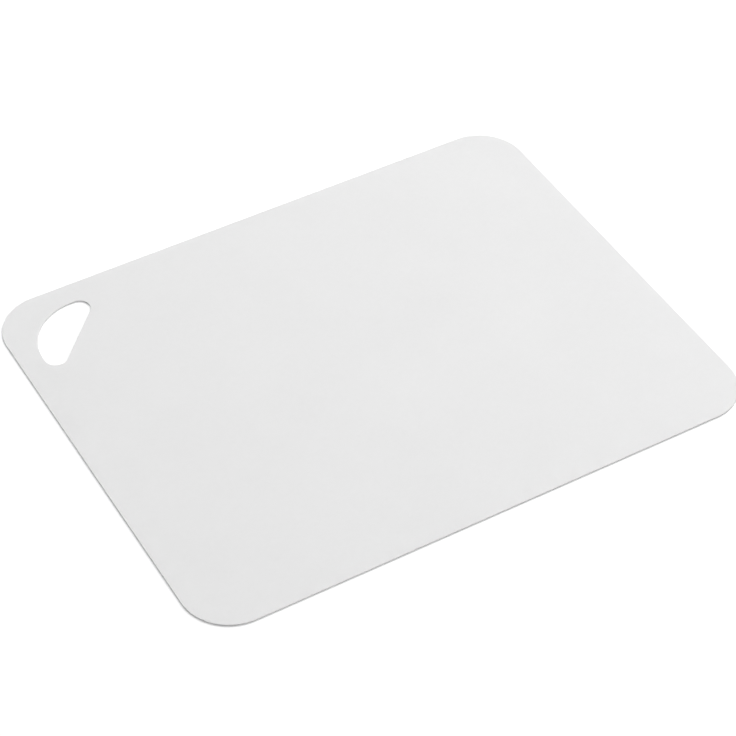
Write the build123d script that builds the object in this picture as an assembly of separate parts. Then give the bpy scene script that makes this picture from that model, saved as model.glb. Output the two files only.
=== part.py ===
from build123d import *
import os

# Flexible cutting mat: one thin plastic sheet with four round corners, and a
# D-shaped hand opening die-cut across one corner. All lengths are millimetres.
#
# The origin is the middle of the underside. +X runs along the long side, +Y
# along the short side and +Z is up. The opening is in the -X, +Y corner.

# Sheet
mat_length = 381.0
mat_width = 304.8
mat_thickness = 1.2
corner_radius = 31.75

# Rims of the outline and of the opening. The cutting die draws the top rim
# down as it goes in, and leaves the bottom rim crisper.
top_rim_round = 0.3
bottom_rim_round = 0.12
rim_limit_share = 0.4

# Hand opening: a bowed side towards the corner, a straight side towards the
# middle of the mat, and rounded ends where the two meet. Its width runs from
# the crown of the bow to the straight side.
opening_bow_radius = 36.8
opening_width = 25.0
opening_end_round = 7.3
opening_end_limit_share = 0.4

# Strips of sheet left between the bow and the mat's two nearest edges, and the
# angle in degrees from the long side to the line that the opening is square to
strip_beside_short_edge = 15.4
strip_beside_long_edge = 16.5
opening_slant = 43.5

# How far a cutting shape runs past what it cuts
cut_overrun = 5.0


def mat_outline():
    """The outline of the mat, centred on the origin."""
    return RectangleRounded(mat_length, mat_width, corner_radius)


def opening_outline():
    """The opening about the centre of its bow, with the crown of the bow towards -X."""
    straight_side = opening_width - opening_bow_radius
    kept_length = opening_width + cut_overrun
    kept_height = 2 * (opening_bow_radius + cut_overrun)
    kept_side = Pos(straight_side - kept_length / 2, 0) * Rectangle(kept_length, kept_height)
    bow_and_chord = Circle(opening_bow_radius) & kept_side
    end_round = min(opening_end_round, opening_width * opening_end_limit_share)
    return fillet(bow_and_chord.vertices(), end_round)


def placed_opening():
    """The opening in its corner, with the crown of its bow towards the corner."""
    bow_centre_x = -mat_length / 2 + strip_beside_short_edge + opening_bow_radius
    bow_centre_y = mat_width / 2 - strip_beside_long_edge - opening_bow_radius
    return Pos(bow_centre_x, bow_centre_y) * Rot(0, 0, -opening_slant) * opening_outline()


def ease_rims(sheet):
    """Round the top rims, then the bottom rims, of the outline and of the opening."""
    rim_limit = mat_thickness * rim_limit_share
    top_face = sheet.faces().sort_by(Axis.Z)[-1]
    sheet = fillet(top_face.edges(), min(top_rim_round, rim_limit))
    bottom_face = sheet.faces().sort_by(Axis.Z)[0]
    return fillet(bottom_face.edges(), min(bottom_rim_round, rim_limit))


def cutting_mat():
    """The whole mat: the outline less the opening, as thick as the sheet, with eased rims."""
    sheet = extrude(mat_outline() - placed_opening(), mat_thickness)
    return ease_rims(sheet)


os.makedirs("parts", exist_ok=True)
export_step(cutting_mat(), "parts/cutting_mat.step")
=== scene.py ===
import math

import bmesh
import bpy
from mathutils import Matrix, Vector


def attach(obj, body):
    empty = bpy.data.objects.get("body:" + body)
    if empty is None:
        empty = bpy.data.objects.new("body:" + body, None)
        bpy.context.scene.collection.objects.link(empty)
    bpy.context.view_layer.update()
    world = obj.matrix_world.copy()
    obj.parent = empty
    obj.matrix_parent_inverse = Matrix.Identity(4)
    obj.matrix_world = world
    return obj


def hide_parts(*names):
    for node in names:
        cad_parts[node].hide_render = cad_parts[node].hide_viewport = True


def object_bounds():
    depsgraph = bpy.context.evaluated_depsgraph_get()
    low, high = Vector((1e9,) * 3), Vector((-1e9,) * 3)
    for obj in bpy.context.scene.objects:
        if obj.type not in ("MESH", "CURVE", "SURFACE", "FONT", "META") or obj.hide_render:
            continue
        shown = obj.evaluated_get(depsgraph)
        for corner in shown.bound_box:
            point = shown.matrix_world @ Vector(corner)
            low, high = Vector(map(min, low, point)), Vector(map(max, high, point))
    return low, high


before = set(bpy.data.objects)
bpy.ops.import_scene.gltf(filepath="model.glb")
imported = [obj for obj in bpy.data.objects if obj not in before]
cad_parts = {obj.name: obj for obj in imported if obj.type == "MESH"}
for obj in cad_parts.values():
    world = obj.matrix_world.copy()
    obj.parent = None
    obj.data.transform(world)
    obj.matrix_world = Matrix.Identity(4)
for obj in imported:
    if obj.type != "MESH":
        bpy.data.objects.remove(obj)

# A flexible cutting mat lying on a pale studio floor. Lengths are metres, in
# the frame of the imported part: the origin is the middle of the underside, +X
# runs along the long side and the hand opening is in the -X, +Y corner.

cad_low, cad_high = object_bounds()
MM = 0.001

# Camera: the viewing angle of the photograph, and the point it looks at.
# Azimuths run from -Y towards +X, and elevations up from the floor.
VIEW_AZIMUTH = math.radians(-29.99)
VIEW_ELEVATION = math.radians(44.79)
VIEW_DISTANCE = 1.543
VIEW_TARGET = Vector((-0.0038, -0.0088, 0.0))
LENS_MM = 121.55
SENSOR_MM = 36.0

# Light levels are shares of a plain white light on a level surface, and the
# ambient and the two lamps add up to about 0.9. Both lamps stand behind the
# mat. The ambient light leans: it is stronger from +X and weaker from -X by a
# share. The light from below is for the underside, and the floor keeps it off
# the rest.
AMBIENT_LEVEL = 0.385
AMBIENT_LEAN_SHARE = 0.9
BELOW_LEVEL = 0.8
BACKDROP_LEVEL = 1.0
BACK_LAMP_LEVEL = 0.26
BACK_LAMP_AZIMUTH = math.radians(150)
BACK_LAMP_ELEVATION = math.radians(60)
SIDE_LAMP_LEVEL = 0.26
SIDE_LAMP_AZIMUTH = math.radians(115)
SIDE_LAMP_ELEVATION = math.radians(46)
LAMP_DISTANCE = 4.0
LAMP_SIDE = 0.8

# Floor, a hair under the mat. Rays that reach it within the clear length start
# on the mat's underside, and pass through.
FLOOR_HALF_SIDE = 6.0
FLOOR_GAP = 0.02 * MM
FLOOR_CLEAR_LENGTH = 0.06 * MM
FLOOR_COLOUR = 0.9

# Where the floor is looked at, it glows a little near the mat and more far off,
# where the lamps give it less
NEAR_GLOW = 0.3
FAR_GLOW = 0.9
NEAR_DISTANCE = 0.3
FAR_DISTANCE = 3.0

# Outline of the sheet and of its hand opening, as in the CAD model
CORNER_RADIUS = 31.75 * MM
OPENING_BOW_RADIUS = 36.8 * MM
OPENING_WIDTH = 25.0 * MM
OPENING_END_ROUND = 7.3 * MM
STRIP_BESIDE_SHORT_EDGE = 15.4 * MM
STRIP_BESIDE_LONG_EDGE = 16.5 * MM
OPENING_SLANT = math.radians(43.5)
TOP_RIM_ROUND = 0.3 * MM
BOTTOM_RIM_ROUND = 0.12 * MM

# Fineness of the mesh
ARC_STEP = math.radians(1.5)
RIM_STEPS = 6

QUARTER_TURN = math.radians(90)
FULL_TURN = math.radians(360)

# Noise: how many layers of finer noise it has, and the range that most of it lies in
PLAIN_DETAIL = 2.0
FINE_DETAIL = 3.0
FINEST_DETAIL = 4.0
NOISE_LOW = 0.3
NOISE_HIGH = 0.7

# Sheet: off-white polypropylene, faintly clouded and mottled
SHEET_DARK = (0.82, 0.82, 0.82, 1.0)
SHEET_LIGHT = (0.843, 0.843, 0.843, 1.0)
CLOUD_SIZE = 70 * MM
MOTTLE_SIZE = 2.5 * MM
CLOUD_SHARE = 0.6

# Relief of the faces: a fine pebbled grain, lines that the rollers drew along
# the sheet, and a slow waviness. Depths are peak to valley.
GRAIN_SIZE = 0.4 * MM
GRAIN_DEPTH = 0.015 * MM
GRAIN_LOW = 0.36
GRAIN_HIGH = 0.6
LINE_WIDTH = 1.2 * MM
LINE_LENGTH = 90 * MM
LINE_DEPTH = 0.006 * MM
WAVE_SIZE = 110 * MM
WAVE_DEPTH = 0.2 * MM

# Relief of the cut walls: lines that the die drew up them
WALL_LINE_WIDTH = 0.35 * MM
WALL_LINE_HEIGHT = 4 * MM
WALL_LINE_DEPTH = 0.06 * MM

# Roughness: matte in patches, and smoother along the rims, which are rubbed
SMOOTH_ROUGHNESS = 0.48
MATTE_ROUGHNESS = 0.58
GLOSS_PATCH_SIZE = 4 * MM
RIM_ROUGHNESS = 0.38

# Flatness, 1 on a face and 0 on a wall, at which the rubbed rim and the wall's
# lines start, and at which each is full
RIM_START = 0.995
RIM_FULL = 0.8
WALL_START = 0.45
WALL_FULL = 0.1

# Light that soaks into the sheet
SOAK_SHARE = 0.7
SOAK_DEPTH = 1.2 * MM
SOAK_SPREAD = (1.0, 1.0, 1.0)


def outward(azimuth, elevation):
    """The unit vector that leaves the origin at an azimuth and an elevation."""
    return Vector((
        math.sin(azimuth) * math.cos(elevation),
        -math.cos(azimuth) * math.cos(elevation),
        math.sin(elevation),
    ))


def node(tree, kind, **settings):
    """A new shader node with the given settings."""
    made = tree.nodes.new(kind)
    for name, value in settings.items():
        setattr(made, name, value)
    return made


def feed(tree, value, socket):
    """Give a socket a number, a vector or another node's output."""
    if isinstance(value, bpy.types.NodeSocket):
        tree.links.new(value, socket)
    else:
        socket.default_value = value


def math_node(tree, operation, first, second=0.0, clamp=False):
    """A Math node's output; each input is a number or another node's output."""
    made = node(tree, "ShaderNodeMath", operation=operation, use_clamp=clamp)
    feed(tree, first, made.inputs[0])
    feed(tree, second, made.inputs[1])
    return made.outputs["Value"]


def between(tree, share, first, second):
    """From the first value to the second as the share goes from 0 to 1."""
    step = math_node(tree, "MULTIPLY", share, math_node(tree, "SUBTRACT", second, first))
    return math_node(tree, "ADD", first, step)


def ramp(tree, value, from_low, from_high, to_low=0.0, to_high=1.0, smooth=False):
    """The value remapped from one range to another and held at its ends."""
    kind = "SMOOTHSTEP" if smooth else "LINEAR"
    made = node(tree, "ShaderNodeMapRange", interpolation_type=kind)
    feed(tree, value, made.inputs["Value"])
    feed(tree, from_low, made.inputs["From Min"])
    feed(tree, from_high, made.inputs["From Max"])
    feed(tree, to_low, made.inputs["To Min"])
    feed(tree, to_high, made.inputs["To Max"])
    return made.outputs["Result"]


def new_material(name):
    """An empty node material and its output node."""
    material = bpy.data.materials.new(name)
    material.use_nodes = True
    material.node_tree.nodes.clear()
    return material, node(material.node_tree, "ShaderNodeOutputMaterial")


def seen_directly(tree):
    """1 on rays that look at the background: straight, in a gloss or through glass."""
    path = node(tree, "ShaderNodeLightPath")
    mirrored = math_node(tree, "ADD", path.outputs["Is Glossy Ray"], path.outputs["Is Transmission Ray"])
    return math_node(tree, "ADD", path.outputs["Is Camera Ray"], mirrored, clamp=True)


def make_camera():
    """The camera, placed round its target by azimuth and elevation."""
    camera = bpy.data.objects.new("camera", bpy.data.cameras.new("camera"))
    bpy.context.scene.collection.objects.link(camera)
    camera.data.lens = LENS_MM
    camera.data.sensor_width = SENSOR_MM
    back = outward(VIEW_AZIMUTH, VIEW_ELEVATION)
    camera.location = VIEW_TARGET + back * VIEW_DISTANCE
    camera.rotation_euler = (-back).to_track_quat("-Z", "Y").to_euler()
    bpy.context.scene.camera = camera


def make_world():
    """Soft light from above and from below, and a white background where it is looked at."""
    world = bpy.data.worlds.new("studio")
    world.use_nodes = True
    tree = world.node_tree
    tree.nodes.clear()
    output = node(tree, "ShaderNodeOutputWorld")
    background = node(tree, "ShaderNodeBackground")
    background.inputs["Color"].default_value = (1.0, 1.0, 1.0, 1.0)
    apart = node(tree, "ShaderNodeSeparateXYZ")
    tree.links.new(node(tree, "ShaderNodeTexCoord").outputs["Generated"], apart.inputs[0])
    upward = math_node(tree, "GREATER_THAN", apart.outputs["Z"], 0.0)
    weakest = AMBIENT_LEVEL * (1 - AMBIENT_LEAN_SHARE)
    strongest = AMBIENT_LEVEL * (1 + AMBIENT_LEAN_SHARE)
    above = ramp(tree, apart.outputs["X"], -1.0, 1.0, weakest, strongest)
    light = between(tree, upward, BELOW_LEVEL, above)
    shown = between(tree, seen_directly(tree), light, BACKDROP_LEVEL)
    tree.links.new(shown, background.inputs["Strength"])
    tree.links.new(background.outputs[0], output.inputs["Surface"])
    bpy.context.scene.world = world


def make_lamp(name, level, azimuth, elevation):
    """A square soft lamp aimed at the mat. level is its share of the light there."""
    data = bpy.data.lights.new(name, "AREA")
    data.shape = "SQUARE"
    data.size = LAMP_SIDE
    # Under a lamp of power P a level spot gets P sin(elevation) / (pi d^2), and under a white sky of 1, pi
    data.energy = level * math.pi ** 2 * LAMP_DISTANCE ** 2 / math.sin(elevation)
    lamp = bpy.data.objects.new(name, data)
    bpy.context.scene.collection.objects.link(lamp)
    towards = outward(azimuth, elevation)
    lamp.location = towards * LAMP_DISTANCE
    lamp.rotation_euler = towards.to_track_quat("Z", "Y").to_euler()


def floor_glow(tree):
    """The floor's own light, by the distance from the middle of the floor."""
    distance = node(tree, "ShaderNodeVectorMath", operation="LENGTH")
    tree.links.new(node(tree, "ShaderNodeTexCoord").outputs["Object"], distance.inputs[0])
    return ramp(tree, distance.outputs["Value"], NEAR_DISTANCE, FAR_DISTANCE, NEAR_GLOW, FAR_GLOW)


def floor_material():
    """White, and clear to rays from below and to short ones, which come from the mat's underside."""
    material, output = new_material("floor")
    tree = material.node_tree
    diffuse = node(tree, "ShaderNodeBsdfDiffuse")
    diffuse.inputs["Color"].default_value = (FLOOR_COLOUR, FLOOR_COLOUR, FLOOR_COLOUR, 1.0)
    glow = node(tree, "ShaderNodeEmission")
    shown = math_node(tree, "MULTIPLY", seen_directly(tree), floor_glow(tree))
    tree.links.new(shown, glow.inputs["Strength"])
    lit = node(tree, "ShaderNodeAddShader")
    tree.links.new(diffuse.outputs[0], lit.inputs[0])
    tree.links.new(glow.outputs[0], lit.inputs[1])
    from_below = node(tree, "ShaderNodeNewGeometry").outputs["Backfacing"]
    length = node(tree, "ShaderNodeLightPath").outputs["Ray Length"]
    from_underside = math_node(tree, "LESS_THAN", length, FLOOR_CLEAR_LENGTH)
    lit_or_clear = node(tree, "ShaderNodeMixShader")
    tree.links.new(math_node(tree, "MAXIMUM", from_below, from_underside), lit_or_clear.inputs["Fac"])
    tree.links.new(lit.outputs[0], lit_or_clear.inputs[1])
    tree.links.new(node(tree, "ShaderNodeBsdfTransparent").outputs[0], lit_or_clear.inputs[2])
    tree.links.new(lit_or_clear.outputs[0], output.inputs["Surface"])
    return material


def make_floor():
    """The floor, just under the mat."""
    half = FLOOR_HALF_SIDE
    height = cad_low.z - FLOOR_GAP
    corners = [(-half, -half, height), (half, -half, height), (half, half, height), (-half, half, height)]
    mesh = bpy.data.meshes.new("floor")
    mesh.from_pydata(corners, [], [(0, 1, 2, 3)])
    mesh.materials.append(floor_material())
    floor = bpy.data.objects.new("floor", mesh)
    bpy.context.scene.collection.objects.link(floor)


def direction(angle):
    """The unit vector at an angle from +X towards +Y."""
    return Vector((math.cos(angle), math.sin(angle)))


def arc(centre, radius, start, end):
    """Points along an arc, each with the unit vector from the centre of the arc to it."""
    steps = math.ceil(abs(end - start) / ARC_STEP)
    turned = [direction(start + (end - start) * step / steps) for step in range(steps + 1)]
    return [(centre + radius * away, away) for away in turned]


def mat_outline():
    """The mat's outline, anticlockwise: points, each with the direction that leaves the sheet there."""
    outline = []
    for quarter, (side, end) in enumerate([(1, 1), (-1, 1), (-1, -1), (1, -1)]):
        centre = Vector((side * (cad_high.x - CORNER_RADIUS), end * (cad_high.y - CORNER_RADIUS)))
        start = quarter * QUARTER_TURN
        outline += arc(centre, CORNER_RADIUS, start, start + QUARTER_TURN)
    return outline


def opening_outline():
    """The opening's outline, clockwise: points, each with the direction that leaves the sheet there."""
    end_x = OPENING_WIDTH - OPENING_BOW_RADIUS - OPENING_END_ROUND
    end_y = math.sqrt((OPENING_BOW_RADIUS - OPENING_END_ROUND) ** 2 - end_x ** 2)
    meeting = math.atan2(end_y, end_x)
    bow = arc(Vector((0, 0)), OPENING_BOW_RADIUS, FULL_TURN - meeting, meeting)
    far_end = arc(Vector((end_x, end_y)), OPENING_END_ROUND, meeting, 0)
    near_end = arc(Vector((end_x, -end_y)), OPENING_END_ROUND, 0, -meeting)
    # The two end rounds bring the points where they meet the bow
    drawn = bow[1:-1] + far_end + near_end
    turn = Matrix.Rotation(-OPENING_SLANT, 2)
    bow_centre = Vector((
        cad_low.x + STRIP_BESIDE_SHORT_EDGE + OPENING_BOW_RADIUS,
        cad_high.y - STRIP_BESIDE_LONG_EDGE - OPENING_BOW_RADIUS,
    ))
    return [(bow_centre + turn @ point, -(turn @ away)) for point, away in drawn]


def rim_profile():
    """From the bottom face to the top one: how far in, how high and how far from upright the rim faces."""
    thickness = cad_high.z - cad_low.z
    angles = [QUARTER_TURN * step / RIM_STEPS for step in range(RIM_STEPS + 1)]
    low = [(BOTTOM_RIM_ROUND, angle, -1) for angle in reversed(angles)]
    high = [(TOP_RIM_ROUND, angle, 1) for angle in angles]
    profile = []
    for radius, angle, side in low + high:
        depth = radius * (1 - math.sin(angle))
        height = depth if side < 0 else thickness - depth
        profile.append((radius * (1 - math.cos(angle)), height, side * angle))
    return profile


def ring_edges(shape, ring):
    """The edges that join a closed ring of vertices."""
    return [shape.edges.get((ring[here - 1], ring[here])) for here in range(len(ring))]


def add_rims(shape, outline, normals):
    """Wall and rims along one outline. Returns the edges on the bottom face and those on the top face."""
    rings = []
    for inset, height, lean in rim_profile():
        ring = []
        for point, away in outline:
            flat = point - inset * away
            ring.append(shape.verts.new((flat.x, flat.y, cad_low.z + height)))
            normals.append((away.x * math.cos(lean), away.y * math.cos(lean), math.sin(lean)))
        rings.append(ring)
    for low, high in zip(rings, rings[1:]):
        for here in range(len(outline)):
            shape.faces.new((low[here - 1], low[here], high[here], high[here - 1]))
    return ring_edges(shape, rings[0]), ring_edges(shape, rings[-1])


def make_sheet(material):
    """The sheet with smoothly drawn outlines, in place of the coarser CAD mesh."""
    shape = bmesh.new()
    normals = []
    mat_bottom, mat_top = add_rims(shape, mat_outline(), normals)
    opening_bottom, opening_top = add_rims(shape, opening_outline(), normals)
    bmesh.ops.triangle_fill(shape, use_beauty=True, edges=mat_bottom + opening_bottom, normal=(0, 0, -1))
    bmesh.ops.triangle_fill(shape, use_beauty=True, edges=mat_top + opening_top, normal=(0, 0, 1))
    mesh = bpy.data.meshes.new("mat_sheet")
    shape.to_mesh(mesh)
    shape.free()
    mesh.shade_smooth()
    mesh.normals_split_custom_set_from_vertices(normals)
    mesh.materials.append(material)
    sheet = bpy.data.objects.new("mat_sheet", mesh)
    bpy.context.scene.collection.objects.link(sheet)
    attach(sheet, "root")
    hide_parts("cutting_mat")


def noise(tree, place, size, detail=PLAIN_DETAIL):
    """Noise about 0.5 with features of the given size: one length, or one for each axis."""
    spacing = size if isinstance(size, tuple) else (size, size, size)
    scaled = node(tree, "ShaderNodeVectorMath", operation="DIVIDE")
    tree.links.new(place, scaled.inputs[0])
    scaled.inputs[1].default_value = spacing
    made = node(tree, "ShaderNodeTexNoise")
    made.inputs["Scale"].default_value = 1.0
    made.inputs["Detail"].default_value = detail
    tree.links.new(scaled.outputs["Vector"], made.inputs["Vector"])
    return made.outputs[0]


def flatness(tree):
    """1 on the two faces, 0 on the cut walls and between the two on the rims."""
    apart = node(tree, "ShaderNodeSeparateXYZ")
    tree.links.new(node(tree, "ShaderNodeTexCoord").outputs["Normal"], apart.inputs[0])
    return math_node(tree, "ABSOLUTE", apart.outputs["Z"])


def sheet_colour(tree, place):
    """Off-white with slow clouds and a fine mottle."""
    clouds = noise(tree, place, CLOUD_SIZE, FINE_DETAIL)
    mottle = noise(tree, place, MOTTLE_SIZE)
    tone = between(tree, CLOUD_SHARE, mottle, clouds)
    mix = node(tree, "ShaderNodeMix", data_type="RGBA")
    tree.links.new(ramp(tree, tone, NOISE_LOW, NOISE_HIGH), mix.inputs["Factor"])
    mix.inputs["A"].default_value = SHEET_DARK
    mix.inputs["B"].default_value = SHEET_LIGHT
    return mix.outputs["Result"]


def sheet_roughness(tree, place):
    """Matte in small patches, and rubbed a little smoother along the rims."""
    patches = noise(tree, place, GLOSS_PATCH_SIZE, FINEST_DETAIL)
    matte = ramp(tree, patches, NOISE_LOW, NOISE_HIGH, SMOOTH_ROUGHNESS, MATTE_ROUGHNESS)
    rim = ramp(tree, flatness(tree), RIM_START, RIM_FULL, smooth=True)
    return between(tree, rim, matte, RIM_ROUGHNESS)


def face_relief(tree, place):
    """Height of the faces in metres: pebbles with flattened crowns, drawn lines and a slow waviness."""
    grain = noise(tree, place, GRAIN_SIZE, FINE_DETAIL)
    pebbles = ramp(tree, grain, GRAIN_LOW, GRAIN_HIGH, 0.0, GRAIN_DEPTH, smooth=True)
    stripes = noise(tree, place, (LINE_LENGTH, LINE_WIDTH, LINE_WIDTH))
    lines = math_node(tree, "MULTIPLY", stripes, LINE_DEPTH)
    waves = math_node(tree, "MULTIPLY", noise(tree, place, WAVE_SIZE), WAVE_DEPTH)
    return math_node(tree, "ADD", math_node(tree, "ADD", pebbles, lines), waves)


def wall_relief(tree, place):
    """Height of the cut walls in metres: lines that the die drew up them."""
    lines = noise(tree, place, (WALL_LINE_WIDTH, WALL_LINE_WIDTH, WALL_LINE_HEIGHT))
    return math_node(tree, "MULTIPLY", lines, WALL_LINE_DEPTH)


def sheet_normal(tree, place):
    """The relief of the faces and of the cut walls, as a bumped normal."""
    wall = ramp(tree, flatness(tree), WALL_START, WALL_FULL, smooth=True)
    relief = between(tree, wall, face_relief(tree, place), wall_relief(tree, place))
    bump = node(tree, "ShaderNodeBump")
    bump.inputs["Strength"].default_value = 1.0
    bump.inputs["Distance"].default_value = 1.0
    tree.links.new(relief, bump.inputs["Height"])
    return bump.outputs["Normal"]


def sheet_plastic():
    """Off-white matte polypropylene that light soaks into a little."""
    material, output = new_material("sheet_plastic")
    tree = material.node_tree
    place = node(tree, "ShaderNodeTexCoord").outputs["Object"]
    plastic = node(tree, "ShaderNodeBsdfPrincipled", subsurface_method="BURLEY")
    tree.links.new(sheet_colour(tree, place), plastic.inputs["Base Color"])
    tree.links.new(sheet_roughness(tree, place), plastic.inputs["Roughness"])
    tree.links.new(sheet_normal(tree, place), plastic.inputs["Normal"])
    plastic.inputs["Subsurface Weight"].default_value = SOAK_SHARE
    plastic.inputs["Subsurface Scale"].default_value = SOAK_DEPTH
    plastic.inputs["Subsurface Radius"].default_value = SOAK_SPREAD
    tree.links.new(plastic.outputs[0], output.inputs["Surface"])
    return material


make_camera()
make_world()
make_lamp("back_lamp", BACK_LAMP_LEVEL, BACK_LAMP_AZIMUTH, BACK_LAMP_ELEVATION)
make_lamp("side_lamp", SIDE_LAMP_LEVEL, SIDE_LAMP_AZIMUTH, SIDE_LAMP_ELEVATION)
make_floor()

make_sheet(sheet_plastic())

bpy.context.scene.view_settings.view_transform = "Standard"
